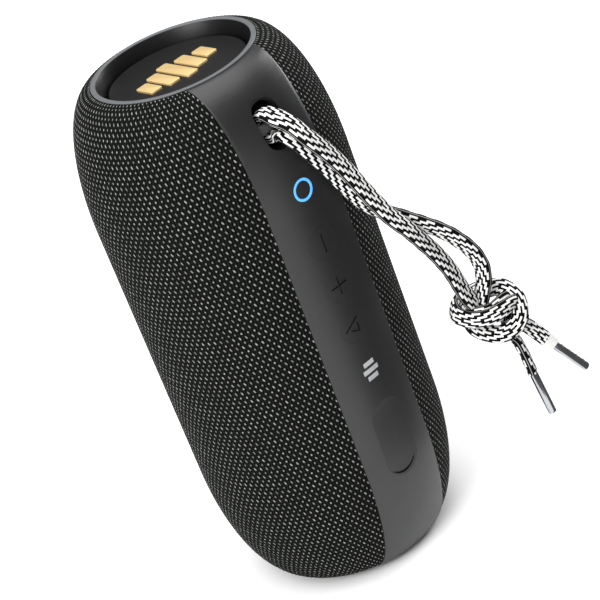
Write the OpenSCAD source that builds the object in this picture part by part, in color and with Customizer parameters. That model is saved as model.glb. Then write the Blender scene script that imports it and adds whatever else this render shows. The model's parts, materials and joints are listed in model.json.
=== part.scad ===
// Waterproof cylindrical speaker with a control spine, two passive radiators and a braided lanyard.
// It stands on its lower ring: +Z runs up the body, and the control spine faces -Y.

/* [Body] */
// Height of the body, standing on its lower ring
body_h = 174; // [170:1:178]
// Diameter of the body at its middle
body_d = 80; // [80:0.5:82]
// Height of each rounded shoulder
shoulder_h = 42; // [40:1:44]
// Diameter of the opening in the sleeve at each end
rim_d = 51.2; // [51.2:0.1:51.6]

/* [Skins] */
// Thickness of the woven sleeve
fabric_t = 0.8; // [0.6:0.1:0.8]
// Thickness of the perforated tube behind the sleeve
grille_t = 1.4; // [1.2:0.1:1.4]
// Thickness of the rubber spine
spine_t = 2; // [1.8:0.1:2]
// Width of the rubber spine
spine_w = 26.8; // [26.4:0.1:27.2]
// Thickness of the cabinet walls
cabinet_t = 2; // [1.8:0.1:2.2]

/* [Controls] */
// Height of the power button
power_z = 135.8; // [135:0.1:137]
// Height of the volume down button
down_z = 117.7; // [117:0.1:118]
// Height of the volume up button
up_z = 103; // [102.5:0.1:103.5]
// Height of the play button
play_z = 88.3; // [88:0.1:89]
// Radius of the three lower buttons
cap_r = 5.2; // [4.8:0.1:5.4]
// Travel of each button
button_travel = 0.4; // [0.2:0.05:0.45]
// Height of the printed mark
mark_z = 72.5; // [71:0.1:74]

/* [Ports] */
// Height of the middle of the port cover
port_z = 47.5; // [47:0.1:48]
// Width of the port cover
port_w = 12; // [11.6:0.1:12.2]
// Height of the port cover
port_h = 27; // [26.6:0.1:27.2]
// Radius of the aux jack's bore
jack_r = 1.8; // [1.76:0.01:1.84]

/* [Lanyard] */
// Height of the middle of the lanyard hole
hole_z = 157.3; // [157:0.1:157.6]
// Width of the lanyard hole
hole_w = 9; // [8.6:0.1:9.2]
// Height of the lanyard hole
hole_h = 16; // [15.6:0.1:16.2]
// Height of the strap across the lanyard hole
strap_h = 3.2; // [2.8:0.1:3.2]
// Thickness of the strap
strap_t = 1.8; // [1.6:0.1:1.8]
// Width of the braided cord
cord_w = 5.6; // [5:0.1:5.8]
// Thickness of the braided cord
cord_t = 3.4; // [3:0.1:3.4]

/* [Drivers] */
// Radius of each driver's mounting flange
driver_r = 22; // [21.8:0.1:22.2]
// Height of the upper driver
upper_z = 114.5; // [114:0.5:115]
// Height of the lower driver
lower_z = 59.5; // [59:0.5:60]

/* [Hidden] */

$fn = 96;
big = 200;                         // longer than the body, for cutting boxes
body_r = body_d / 2;
rim_r = rim_d / 2;
ring_stand = 0.3;                  // how far each ring stands past the sleeve
shoulder_steps = 16;               // cones that make up each shoulder
gap = 0.15;                        // seam between the spine and what fits into it

// Depths below the outer surface
grille_d = fabric_t + 0.1;
carrier_d = spine_t + 0.1;
carrier_t = 1.6;
cabinet_d = 2.5;
cabinet_in = cabinet_d + cabinet_t;
cup_d = 0.6;

// End recess and passive radiators, as depths below the end plane
ring_r = rim_r - 0.1;
recess_r = 22.6;
lip_r = 24;
ring_depth = 9;
disc_depth = 4.1;
disc_t = 1.5;
disc_r = 21.4;
neck_r = 17;
neck_depth = 13.5;
weight_r = 13;
weight_t = 3;
emblem_t = 0.8;
surround_t = 0.6;
surround_depth = 9.1;
roll_r = 2.05;
roll_mid_r = neck_r + 0.3 + roll_r;
frame_depth = 9.8;
frame_end = 17.4;
end_disc_depth = 17.5;
end_disc_t = 2;
end_bore_r = 20.5;

// Electronics bay in the rear cabinet, opening through the spine side
bay_x = 13.4;
bay_z0 = 27;
bay_z1 = 145;
bay_y = -27;                       // front of the bay's floor
wall = 2;
seal_t = 0.8;
board_t = 1.4;
control_y = bay_y - 0.1;           // inner face of the control board
control_x = 12;
control_z0 = 29;
control_z1 = 143;

// Buttons
flange_y = -body_r + spine_t + 0.6;
flange_t = 0.7;
stem_r = 1.6;
stem_y = -34.6;
boss_y = -35;
switch_w = 6;
switch_h = 3.5;
plunger_r = 1.2;
plunger_y = -31.2;
glyph_d = 0.35;
glyph_w = 0.5;
button_z = [power_z, down_z, up_z, play_z];
power_r = 2.6;
light_in = power_r + gap;
light_out = 3.5;
light_y = -35.4;

// Port cover and what is behind it
cover_t = 1.6;
crease_z = port_z + 11;
crease_gap = 0.1;
bead_r = 0.25;                     // round bead on the cover's hinge line
bead_y = -39.65;
bead_half = 2.8;
tray_y0 = -38.2;
tray_y1 = -35;
tray_floor = 1;
port_y = -35.9;
jack_z = 52;
jack_len = 12;
usb_z = 42;
usb_w = 8.94;
usb_h = 3.26;
usb_len = 7.1;
usb_wall = 0.3;
jack_pocket = [9.6, 6.6, 11];      // pocket in the bay floor, X Y Z

// Fasteners
carrier_screw_x = 8.5;
carrier_screw_z = [31, 76, 141];
pad_y = -34.2;
small_shaft_r = 0.9;
small_head_r = 1.7;
small_head_t = 0.7;
case_screw_x = 32.8;
case_screw_z = [31, 87, 143];
case_boss_r = 3;
case_shaft_r = 1.25;
case_head_r = 2.4;
case_head_y = -9;
driver_screw_r = 20.7;

// Power and main board
cell_r = 9.2;
cell_h = 65.2;
cell_x = 9.7;
cell_y = -7.6;
cell_z = 55;
main_x = 17;
main_y = -20.4;                    // inner face of the main board
main_z0 = 64;
main_z1 = 138;

// Drivers, as places along Y
baffle_y = 26;
baffle_t = 2.5;
well_r = 24;
baffle_bore_r = 19.2;
cone_r = 15;
cone_travel = 1.2;
magnet_r = 14;
magnet_y0 = 4.5;
magnet_y1 = 14.9;

// Lanyard route: round the bar and down to the knot, then a tail for each end of the cord
bar_y = -35.2;
bar_z = 156.6;
wrap_r = 3.6;
pin_r = 0.95;
pin_len = 0.98;
cup_y = -28.1;                     // floor of the lanyard cup
cup_wall = 1.2;
upper_route = [
    [0.2, -38.7, 159.5], [1.6, -42.6, 156.9], [3.6, -45, 152], [6.9, -45.5, 146.3], [10.2, -45.5, 140.2],
    [13.6, -45.5, 132.6], [16.8, -45.9, 124.2], [20.1, -46.9, 115.9], [23.9, -47.6, 109.3],
    [27.5, -47.5, 102.8], [31.1, -47.1, 96.1], [34.4, -46.7, 88.5], [36.5, -46, 82.1],
    [38.2, -45.5, 76], [39.9, -45.6, 70.9]
];
lower_route = [
    [1.1, -38.7, 153.6], [1.8, -40.8, 152.4], [3.6, -41.8, 149.2], [6.2, -42, 144.2], [9.3, -41.6, 138.4],
    [11.8, -41.2, 133.4], [14.5, -41, 127.8], [18, -40.9, 121], [21.5, -41.8, 115.9], [25, -43.4, 112.3],
    [28.7, -45.5, 108.5], [32.8, -47.6, 104.2], [36.1, -49, 100.3], [38.9, -49.9, 96.2],
    [41.7, -50.5, 91.1], [43.6, -50.4, 85.5], [44.3, -49.3, 80.1], [43.8, -47.6, 75], [42.4, -45.6, 69.8]
];
knot_at = [44.6, -47.8, 66.3];
knot_r = 8.2;
knot_half = 10;
left_route = [[46.5, -49, 57.5], [48, -49.9, 53], [49, -50.3, 46.5], [49.6, -50.4, 40.2]];
right_route = [[49.5, -52, 60], [51.2, -53.4, 57.1], [53.6, -55, 52.4], [56, -56.5, 47.7]];
left_end = [47.9, -55.9, 26.7];
right_end = [62.6, -60.6, 35.5];
tail_r = 1.9;
aglet_r = 1.38;
cord_sides = 10;

// ---- shared shapes ----

// Outline of the body at a depth below its surface, from the lower rim to the upper one
function shoulder(d) = [
    for (i = [0:shoulder_steps])
        let (a = 90 * i / shoulder_steps, z0 = ring_stand + d)
            [rim_r + (body_r - d - rim_r) * sin(a), z0 + (shoulder_h - z0) * (1 - cos(a))]
];
function flipped(pts) = [for (i = [len(pts) - 1:-1:0]) [pts[i].x, body_h - pts[i].y]];
function reversed(pts) = [for (i = [len(pts) - 1:-1:0]) pts[i]];
function outline(d) = concat(shoulder(d), flipped(shoulder(d)));

// A skin between two depths, open at both rims
module skin(d0, d1)
    rotate_extrude() polygon(concat(outline(d0), reversed(outline(d1))));

// Everything deeper than d
module core(d)
    rotate_extrude() polygon(concat([[0, ring_stand + d]], outline(d), [[0, body_h - ring_stand - d]]));

// The strip of space in front of the spine's back, w wide
module spine_slab(w, z0 = -1, z1 = body_h + 1)
    translate([-w / 2, -body_r - 5, z0]) cube([w, body_r, z1 - z0]);

module box(x0, x1, y0, y1, z0, z1)
    translate([x0, y0, z0]) cube([x1 - x0, y1 - y0, z1 - z0]);

// A round bar along Y
module rod(r, y0, y1, x = 0, z = 0)
    translate([x, y1, z]) rotate([90, 0, 0]) cylinder(r = r, h = y1 - y0);

// A bar along Y with a round-ended section, w wide and h high
module pill(w, h, y0, y1, z) {
    for (s = [-1, 1]) rod(w / 2, y0, y1, 0, z + s * (h - w) / 2);
    box(-w / 2, w / 2, y0, y1, z - (h - w) / 2, z + (h - w) / 2);
}

// The same section lying on its side
module flat_pill(w, h, y0, y1, z) {
    for (s = [-1, 1]) rod(h / 2, y0, y1, s * (w - h) / 2, z);
    box(-(w - h) / 2, (w - h) / 2, y0, y1, z - h / 2, z + h / 2);
}

// Repeats a top end piece at the bottom end
module at_bottom()
    translate([0, 0, body_h]) mirror([0, 0, 1]) children();

// A turned piece about an axis along +Y; its outline's second value is the place along Y
module turned_y(z)
    translate([0, 0, z]) rotate([-90, 0, 0]) rotate_extrude() children();

module turned() rotate_extrude() children();

// ---- skins ----

module fabric_sleeve()
    color("#1c1f1c") difference() {
        skin(0, fabric_t);
        spine_slab(spine_w + 2 * gap);
    }

module grille_shell() {
    slot_rows = 5;
    slot_pitch = 7.4;
    slot_angles = [-45:15:45];
    color("#202224") difference() {
        skin(grille_d, grille_d + grille_t);
        spine_slab(spine_w + 2 * gap);
        for (mid = [upper_z, lower_z], row = [0:slot_rows - 1], a = slot_angles)
            translate([0, 0, mid + (row - (slot_rows - 1) / 2) * slot_pitch])
                rotate([0, 0, a]) translate([-3.2, body_r - 10, -2]) cube([6.4, 12, 4]);
    }
}

module spine()
    color("#2b2b2b") difference() {
        skin(0, spine_t);
        difference() {
            translate([0, 0, -1]) cylinder(r = body_r + 5, h = body_h + 2);
            spine_slab(spine_w);
        }
        pill(hole_w, hole_h, -body_r - 1, cup_y, hole_z);
        intersection() {
            pill(hole_w + 2 * cup_wall + 0.2, hole_h + 2 * cup_wall + 0.2, -body_r - 1, cup_y, hole_z);
            core(cup_d - 0.05);
        }
        rod(light_out + 0.05, -body_r - 1, -30, 0, power_z);
        for (z = [down_z, up_z, play_z]) rod(cap_r + gap, -body_r - 1, -30, 0, z);
        pill(port_w + 2 * gap, port_h + 2 * gap, -body_r - 1, -30, port_z);
    }

// Three level bars printed on the spine
module spine_mark()
    color("#b5b7b9") intersection() {
        skin(-0.12, -0.01);
        union() for (i = [-1:1])
            box(-2.9 + abs(i) * 0.9, 2.9 - abs(i) * 0.9, -body_r - 2, -30,
                mark_z + i * 2.4 - 0.75, mark_z + i * 2.4 + 0.75);
    }

module end_ring()
    turned() polygon([
        [recess_r, body_h - ring_depth], [rim_r + 1.2, body_h - ring_depth],
        [rim_r + 1.2, body_h - ring_depth + 1.6], [ring_r, body_h - ring_depth + 1.6],
        [ring_r, body_h - 0.15], [ring_r - 0.15, body_h], [lip_r, body_h],
        [lip_r - 0.2, body_h - 0.3], [recess_r, body_h - 4.1]
    ]);

module top_ring() color("#3a3b3d") end_ring();
module bottom_ring() color("#3a3b3d") at_bottom() end_ring();

// ---- cabinet ----

// Shell, end discs and driver wells of the closed cabinet
module cabinet_body() {
    difference() {
        union() {
            skin(cabinet_d, cabinet_in);
            intersection() {
                core(cabinet_d + 0.5);
                union() {
                    translate([0, 0, body_h - end_disc_depth - end_disc_t])
                        cylinder(r = body_r, h = end_disc_t);
                    translate([0, 0, end_disc_depth]) cylinder(r = body_r, h = end_disc_t);
                    for (z = [upper_z, lower_z])
                        rod(well_r + wall, baffle_y - baffle_t, body_r, 0, z);
                }
            }
        }
        translate([0, 0, -1]) cylinder(r = end_bore_r, h = end_disc_depth + end_disc_t + 2);
        translate([0, 0, body_h - end_disc_depth - end_disc_t - 1]) cylinder(r = end_bore_r, h = 40);
        for (z = [upper_z, lower_z]) {
            rod(well_r, baffle_y, body_r + 1, 0, z);
            rod(baffle_bore_r, baffle_y - baffle_t - 1, baffle_y + 1, 0, z);
        }
    }
}

module front_cabinet()
    color("#26282b") difference() {
        union() {
            intersection() {
                cabinet_body();
                box(-big, big, seal_t / 2, big, -1, body_h + 1);
            }
            intersection() {
                core(cabinet_d + 0.3);
                for (s = [-1, 1], z = case_screw_z) rod(case_boss_r, seal_t / 2, 12, s * case_screw_x, z);
            }
        }
        for (s = [-1, 1], z = case_screw_z) rod(case_shaft_r + 0.05, -1, 9, s * case_screw_x, z);
        for (z = [upper_z, lower_z]) driver_screw_places(z)
            rod(small_shaft_r + 0.05, baffle_y - baffle_t - 1, baffle_y + 1);
    }

// Walls and floor of the electronics bay, with the pocket for the aux jack
module bay_walls()
    intersection() {
        core(cabinet_d);
        union() {
            box(-bay_x - wall, bay_x + wall, -body_r, bay_y + wall, bay_z0 - wall, bay_z1 + wall);
            box(-jack_pocket.x / 2 - wall / 2, jack_pocket.x / 2 + wall / 2, bay_y,
                bay_y + jack_pocket.y + wall / 2,
                jack_z - jack_pocket.z / 2 - wall / 2, jack_z + jack_pocket.z / 2 + wall / 2);
        }
    }

module rear_cabinet()
    color("#26282b") difference() {
        union() {
            difference() {
                union() {
                    intersection() {
                        cabinet_body();
                        box(-big, big, -big, -seal_t / 2, -1, body_h + 1);
                    }
                    bay_walls();
                    intersection() {
                        core(cabinet_d + 0.3);
                        for (s = [-1, 1], z = case_screw_z)
                            rod(case_boss_r, -14, -seal_t / 2, s * case_screw_x, z);
                    }
                }
                box(-bay_x, bay_x, -body_r - 1, bay_y, bay_z0, bay_z1);
                box(-jack_pocket.x / 2, jack_pocket.x / 2, bay_y - 1, bay_y + jack_pocket.y,
                    jack_z - jack_pocket.z / 2, jack_z + jack_pocket.z / 2);
                pill(hole_w + 2 * cup_wall + 0.2, hole_h + 2 * cup_wall + 0.2, -body_r - 1,
                     cup_y + cup_wall + 0.1, hole_z);
            }
            intersection() {
                core(carrier_d + carrier_t);
                for (s = [-1, 1], z = carrier_screw_z)
                    rod(2.4, pad_y + 0.05, bay_y + 0.5, s * carrier_screw_x, z);
            }
            main_screw_places() rod(2.4, bay_y + wall - 0.5, main_y - board_t - 0.05);
        }
        for (s = [-1, 1], z = carrier_screw_z)
            rod(small_shaft_r + 0.05, -36, bay_y - 0.5, s * carrier_screw_x, z);
        main_screw_places() rod(small_shaft_r + 0.05, bay_y + 0.6, main_y + 1);
        for (s = [-1, 1], z = case_screw_z) {
            rod(case_shaft_r + 0.1, -30, 1, s * case_screw_x, z);
            rod(case_head_r + 0.2, -body_r, case_head_y, s * case_screw_x, z);
        }
    }

// Flat seal that follows the joint of the two halves
module cabinet_seal()
    color("#101010") intersection() {
        skin(cabinet_d, cabinet_in);
        box(-big, big, -seal_t / 2 + 0.02, seal_t / 2 - 0.02, end_disc_depth + 4,
            body_h - end_disc_depth - 4);
    }

module cabinet_screws()
    color("#8d9094") for (s = [-1, 1], z = case_screw_z) {
        rod(case_shaft_r, case_head_y, 8, s * case_screw_x, z);
        rod(case_head_r, case_head_y - 1.6, case_head_y, s * case_screw_x, z);
    }

// ---- lanyard ----

module lanyard_cup()
    color("#17181a") difference() {
        intersection() {
            pill(hole_w + 2 * cup_wall, hole_h + 2 * cup_wall, -body_r, cup_y + cup_wall, hole_z);
            core(cup_d);
        }
        pill(hole_w, hole_h, -body_r - 1, cup_y, hole_z);
        bar_rod(pin_r + 0.02, hole_w / 2 + pin_len + 0.02);
    }

// A round bar along X on the lanyard's pivot, or raised from it by dz
module bar_rod(r, half, dz = 0)
    translate([-half, bar_y, bar_z + dz]) rotate([0, 90, 0]) cylinder(r = r, h = 2 * half);

// Flat strap across the hole, with a round pin at each end in the cup's wall
module lanyard_bar()
    color("#3b3c3e") {
        half = hole_w / 2 - 0.02;
        edge = (strap_h - strap_t) / 2;
        bar_rod(pin_r, hole_w / 2 + pin_len);
        for (s = [-1, 1]) bar_rod(strap_t / 2, half, s * edge);
        box(-half, half, bar_y - strap_t / 2, bar_y + strap_t / 2, bar_z - edge, bar_z + edge);
    }

function unit(v) = v / norm(v);
function heading(p, i) = unit(p[min(i + 1, len(p) - 1)] - p[max(i - 1, 0)]);
function across(t) = unit([1, 0, 0] - t.x * t);

// A closed tube along a route, w wide across and t thick
module swept(route, w, t) {
    last = len(route) - 1;
    points = [
        for (i = [0:last]) let (h = heading(route, i), s = across(h), f = cross(h, s))
            for (k = [0:cord_sides - 1]) let (a = 360 * k / cord_sides)
                route[i] + s * cos(a) * w / 2 + f * sin(a) * t / 2
    ];
    sides = [
        for (i = [0:last - 1], k = [0:cord_sides - 1])
            let (j = (k + 1) % cord_sides, a = i * cord_sides, b = a + cord_sides)
                [a + k, b + k, b + j, a + j]
    ];
    start = [for (k = [0:cord_sides - 1]) k];
    end = [for (k = [cord_sides - 1:-1:0]) last * cord_sides + k];
    polyhedron(points, concat(sides, [start, end]));
}

// Quarter turn round the bar, from behind it to above (s = 1) or below (s = -1)
function wrap(s) = [
    for (a = [0:30:90]) [0, bar_y + wrap_r * cos(a), bar_z + s * wrap_r * sin(a)]
];

module strand_upper() color("#c9c9c6") swept(concat(wrap(1), upper_route), cord_w, cord_t);
module strand_lower() color("#c9c9c6") swept(concat(wrap(-1), lower_route), cord_w, cord_t);
module tail_left() color("#c9c9c6") swept(left_route, 2 * tail_r, 2 * tail_r);
module tail_right() color("#c9c9c6") swept(right_route, 2 * tail_r, 2 * tail_r);

module lanyard_knot()
    color("#b9b9b6") translate(knot_at) rotate([0, 160, -45]) rotate_extrude($fn = 32)
        polygon([for (a = [-90:15:90]) [knot_r * cos(a), knot_half * sin(a)]]);

// A metal tip from the end of a tail to the given end
module aglet(from, to) {
    v = to - from;
    translate(from) rotate([0, acos(v.z / norm(v)), atan2(v.y, v.x)])
        cylinder(r = aglet_r, h = norm(v));
}

module aglet_left() color("#b8babd") aglet(left_route[len(left_route) - 1], left_end);
module aglet_right() color("#b8babd") aglet(right_route[len(right_route) - 1], right_end);

// ---- controls ----

module button_carrier()
    color("#1f2022") difference() {
        union() {
            intersection() {
                skin(carrier_d, carrier_d + carrier_t);
                spine_slab(2 * bay_x - 0.4, bay_z0 + 0.2, bay_z1 - 0.2);
            }
            intersection() {
                core(carrier_d);
                union() {
                    for (z = [down_z, up_z, play_z]) rod(cap_r + 2, -38, boss_y, 0, z);
                    rod(light_out + 2.4, -38, boss_y, 0, power_z);
                    for (s = [-1, 1], z = carrier_screw_z) rod(3.1, -38, pad_y, s * carrier_screw_x, z);
                }
            }
        }
        for (z = [down_z, up_z, play_z]) {
            rod(cap_r + 1.1, -body_r, flange_y + flange_t + button_travel + 0.1, 0, z);
            rod(stem_r + 0.2, -body_r, -30, 0, z);
        }
        rod(light_out + 0.05, -body_r, -30, 0, power_z);
        pill(port_w + 2.2, port_h + 2.2, -body_r, -30, port_z);
        for (s = [-1, 1], z = carrier_screw_z) {
            rod(small_shaft_r + 0.1, -body_r, -30, s * carrier_screw_x, z);
            rod(small_head_r + 0.1, -body_r, -35.4, s * carrier_screw_x, z);
        }
    }

// Clear tube round the power button that carries the blue light to the surface
module light_ring()
    color("#55afff") difference() {
        intersection() {
            rod(light_out, -body_r - 1, light_y, 0, power_z);
            core(0);
        }
        rod(light_in, -body_r - 1, -30, 0, power_z);
    }

module control_board()
    color("#1d5b3a") difference() {
        box(-control_x, control_x, control_y - board_t, control_y, control_z0, control_z1);
        for (s = [-1, 1], z = carrier_screw_z) rod(2.7, -30, -20, s * carrier_screw_x, z);
        box(-jack_pocket.x / 2, jack_pocket.x / 2, -30, -20,
            jack_z - jack_pocket.z / 2, jack_z + jack_pocket.z / 2);
    }

module switch_bodies()
    color("#2c2c2e") for (z = button_z) difference() {
        box(-switch_w / 2, switch_w / 2, control_y - board_t - switch_h, control_y - board_t,
            z - switch_w / 2, z + switch_w / 2);
        rod(plunger_r + 0.3, -35, -30.4, 0, z);
    }

module plunger(z) color("#e8e6df") rod(plunger_r, stem_y, plunger_y, 0, z);
module power_plunger() plunger(power_z);
module volume_down_plunger() plunger(down_z);
module volume_up_plunger() plunger(up_z);
module play_plunger() plunger(play_z);

// Rubber button flush with the spine; its glyph is cut into its face by children
module cap(z)
    color("#2b2b2b") difference() {
        union() {
            intersection() {
                rod(cap_r, -body_r - 1, flange_y, 0, z);
                core(0);
            }
            rod(cap_r + 0.8, flange_y, flange_y + flange_t, 0, z);
            rod(stem_r, flange_y, stem_y, 0, z);
        }
        difference() {
            translate([0, 0, z]) children();
            core(glyph_d);
        }
    }

module stroke(length, upright)
    if (upright) box(-glyph_w / 2, glyph_w / 2, -body_r - 1, -30, -length / 2, length / 2);
    else box(-length / 2, length / 2, -body_r - 1, -30, -glyph_w / 2, glyph_w / 2);

module line(from, to)
    hull() for (end = [from, to]) translate(end) circle(d = glyph_w, $fn = 16);

module power_cap()
    color("#1b1b1c") {
        intersection() {
            rod(power_r, -body_r - 1, light_y, 0, power_z);
            core(0);
        }
        rod(light_out - 0.4, light_y + 0.1, stem_y, 0, power_z);
        rod(power_r - 0.4, light_y - 0.1, light_y + 0.2, 0, power_z);
    }

module volume_down_cap() cap(down_z) stroke(6, true);
module volume_up_cap() cap(up_z) {
    stroke(5.8, true);
    stroke(5.8, false);
}
module play_cap() cap(play_z)
    rotate([90, 0, 0]) translate([0, 0, 30]) linear_extrude(12) {
        line([1.6, 2.4], [-3.4, -0.15]);
        line([1.25, 0.65], [1.25, -2.1]);
        line([1.25, -2.1], [-1.65, -0.55]);
    }

// ---- ports ----

module cover_outline(z0, z1)
    intersection() {
        pill(port_w, port_h, -body_r - 1, -30, port_z);
        box(-10, 10, -body_r - 2, -20, z0, z1);
    }

module hinge_bead(r)
    translate([-bead_half, bead_y, crease_z]) rotate([0, 90, 0]) cylinder(r = r, h = 2 * bead_half);

module port_cover()
    color("#2b2b2b") difference() {
        union() {
            intersection() {
                skin(0, cover_t);
                cover_outline(0, crease_z - crease_gap);
            }
            difference() {
                pill(10, 22, -38.6, -36.6, port_z - 1);
                pill(7.6, 19.6, -39, -36, port_z - 1);
            }
            hinge_bead(bead_r);
        }
        difference() {
            rod(5.5, -body_r - 1, -30, -0.4, port_z - 7.4);
            rod(5.7, -body_r - 2, -29, -0.1, port_z - 6.1);
            core(0.5);
        }
    }

module port_cover_tab()
    color("#2b2b2b") difference() {
        intersection() {
            skin(0, cover_t);
            cover_outline(crease_z + crease_gap, body_h);
        }
        hinge_bead(bead_r + 0.05);
    }

module port_tray()
    color("#1b1c1e") difference() {
        intersection() {
            pill(port_w + 2, port_h + 2, tray_y0, tray_y1 + tray_floor, port_z);
            core(carrier_d);
        }
        pill(port_w - 1, port_h - 1.6, tray_y0 - 1, tray_y1, port_z);
        flat_pill(usb_w + 0.2, usb_h + 0.2, -40, -30, usb_z);
        rod(3.1, -40, -30, 0, jack_z);
    }

module usb_socket()
    color("#a9acb0") {
        difference() {
            flat_pill(usb_w, usb_h, port_y, port_y + usb_len, usb_z);
            flat_pill(usb_w - 2 * usb_wall, usb_h - 2 * usb_wall, port_y - 1, port_y + usb_len - 1, usb_z);
        }
        box(-3.1, 3.1, port_y + 0.8, port_y + usb_len - 0.5, usb_z - 0.35, usb_z + 0.35);
    }

module aux_jack()
    color("#2a2a2c") difference() {
        union() {
            rod(3, port_y, port_y + 2, 0, jack_z);
            box(-3.4, 3.4, port_y + 2, port_y + jack_len + 1.4, jack_z - 3.4, jack_z + 3.4);
        }
        rod(jack_r, port_y - 1, port_y + jack_len, 0, jack_z);
    }

// ---- electronics ----

// The four screws that hold the main board
module main_screw_places()
    for (x = [-main_x + 3.2, main_x - 3.2], z = [main_z0 + 4, main_z1 - 4])
        translate([x, 0, z]) children();

module driver_screw_places(z)
    for (a = [45:90:315])
        translate([driver_screw_r * cos(a), 0, z + driver_screw_r * sin(a)]) children();

module small_screws()
    color("#9a9da1") {
        for (s = [-1, 1], z = carrier_screw_z) {
            rod(small_head_r, -35.4 - small_head_t, -35.4, s * carrier_screw_x, z);
            rod(small_shaft_r, -35.4, -28, s * carrier_screw_x, z);
        }
        main_screw_places() {
            rod(small_head_r, main_y + 0.02, main_y + 0.02 + small_head_t);
            rod(small_shaft_r, -26, main_y + 0.1);
        }
        for (z = [upper_z, lower_z]) driver_screw_places(z) {
            rod(small_head_r - 0.5, baffle_y + 1.22, baffle_y + 1.22 + small_head_t);
            rod(small_shaft_r, baffle_y - 2, baffle_y + 1.3);
        }
    }

module main_board()
    color("#1d5b3a") difference() {
        box(-main_x, main_x, main_y - board_t, main_y, main_z0, main_z1);
        main_screw_places() rod(small_shaft_r + 0.1, -30, -10);
    }

// Shielded radio module, two amplifier chips, two coils, two capacitors and the microphone
module board_parts() {
    y = main_y - board_t;
    color("#b9bcc0") box(-6, 6, y - 2, y, 112, 130);
    color("#232325") for (x = [-9, 3]) box(x, x + 6, y - 1.2, y, 96, 102);
    color("#3a3a3c") for (x = [-10, 2]) box(x, x + 7, y - 2.6, y, 84, 91);
    color("#8f9296") for (x = [-7, 7]) rod(2, y - 2.6, y, x, 77);
    color("#c8b98a") rod(1.5, control_y - board_t - 1, control_y - board_t, 8, 126);
}

module battery_cells()
    color("#3f7fb5") for (s = [-1, 1])
        translate([s * cell_x, cell_y, cell_z]) cylinder(r = cell_r, h = cell_h);

module battery_holder()
    color("#303235") difference() {
        box(-21, 21, cell_y - cell_r - 1.9, cell_y - 2, cell_z - 2, cell_z + cell_h + 2);
        for (s = [-1, 1]) translate([s * cell_x, cell_y, cell_z - 0.1])
            cylinder(r = cell_r + 0.15, h = cell_h + 0.2);
        box(-0.6, 0.6, cell_y - 3, cell_y, cell_z - 0.1, cell_z + cell_h + 0.1);
    }

// ---- drivers ----

module basket(z)
    color("#34363a") difference() {
        turned_y(z) polygon([
            [driver_r, baffle_y + 0.02], [driver_r, baffle_y + 1.2], [18.6, baffle_y + 1.2],
            [18.2, baffle_y], [15, 16.2], [8, 16.2], [8, 15], [16, 15], [18.9, 24], [18.9, baffle_y + 0.02]
        ]);
        driver_screw_places(z) rod(small_shaft_r + 0.1, 20, 30);
    }

module magnet(z)
    color("#7b7e83") turned_y(z) polygon([
        [0, magnet_y0], [magnet_r, magnet_y0], [magnet_r, magnet_y1], [7.5, magnet_y1],
        [7.5, 7.5], [5.7, 7.5], [5.7, magnet_y1], [0, magnet_y1]
    ]);

module cone(z)
    color("#3a3b3e") turned_y(z) polygon([
        [0, 20.4], [3.5, 19.9], [6.4, 18.6], [6.4, 10], [6.8, 10], [6.8, 18.4], [cone_r, 24.6],
        [cone_r, 28.4], [cone_r - 0.4, 28.4], [cone_r - 0.4, 25], [6.4, 19.4], [3.5, 20.7], [0, 21.2]
    ]);

module surround(z)
    color("#151515") turned_y(z) polygon(concat(
        [for (a = [180:-15:0]) [cone_r + 0.3 + 1.8 + 1.8 * cos(a), 27.3 + 1.8 * sin(a)]],
        [[20 - 0.6, 27.3]], [[20 - 0.6, baffle_y + 1.22]], [[18.6, baffle_y + 1.22]],
        [for (a = [0:15:180]) [cone_r + 0.3 + 1.8 + 1.2 * cos(a), 27.3 + 1.2 * sin(a)]]
    ));

module upper_driver_basket() basket(upper_z);
module upper_driver_magnet() magnet(upper_z);
module upper_driver_cone() cone(upper_z);
module upper_driver_surround() surround(upper_z);
module lower_driver_basket() basket(lower_z);
module lower_driver_magnet() magnet(lower_z);
module lower_driver_cone() cone(lower_z);
module lower_driver_surround() surround(lower_z);

// ---- passive radiators ----

module radiator_frame()
    color("#2d2f32") turned() polygon([
        [end_bore_r + 1.1, body_h - frame_end], [rim_r + 0.9, body_h - frame_end],
        [rim_r + 0.9, body_h - frame_depth], [end_bore_r + 1.1, body_h - frame_depth]
    ]);

module rubber_roll() {
    top = body_h - surround_depth;
    color("#121212") turned() {
        polygon(concat(
            [for (a = [180:15:360]) [roll_mid_r + roll_r * cos(a), top + roll_r * sin(a)]],
            [for (a = [360:-15:180])
                [roll_mid_r + (roll_r - surround_t) * cos(a), top + (roll_r - surround_t) * sin(a)]]
        ));
        polygon([
            [roll_mid_r + roll_r - surround_t, top - surround_t], [rim_r - 0.6, top - surround_t],
            [rim_r - 0.6, top], [roll_mid_r + roll_r - surround_t, top]
        ]);
    }
}

module diaphragm()
    color("#2f3133") turned() polygon([
        [0, body_h - neck_depth], [neck_r, body_h - neck_depth],
        [neck_r, body_h - disc_depth - disc_t], [disc_r, body_h - disc_depth - disc_t],
        [disc_r, body_h - disc_depth - 0.4], [disc_r - 0.4, body_h - disc_depth], [0, body_h - disc_depth]
    ]);

module weight()
    color("#6f7276") translate([0, 0, body_h - neck_depth - weight_t])
        cylinder(r = weight_r, h = weight_t);

// Five level bars raised on the disc
module top_emblem() {
    bar_w = 4.2;
    pitch = 5.5;
    lengths = [8, 12, 16, 12, 8];
    color("#e9cd8a") translate([0, 0, body_h - disc_depth]) for (i = [0:4])
        translate([(i - 2) * pitch - bar_w / 2, -lengths[i] / 2, 0]) cube([bar_w, lengths[i], emblem_t]);
}

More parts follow.
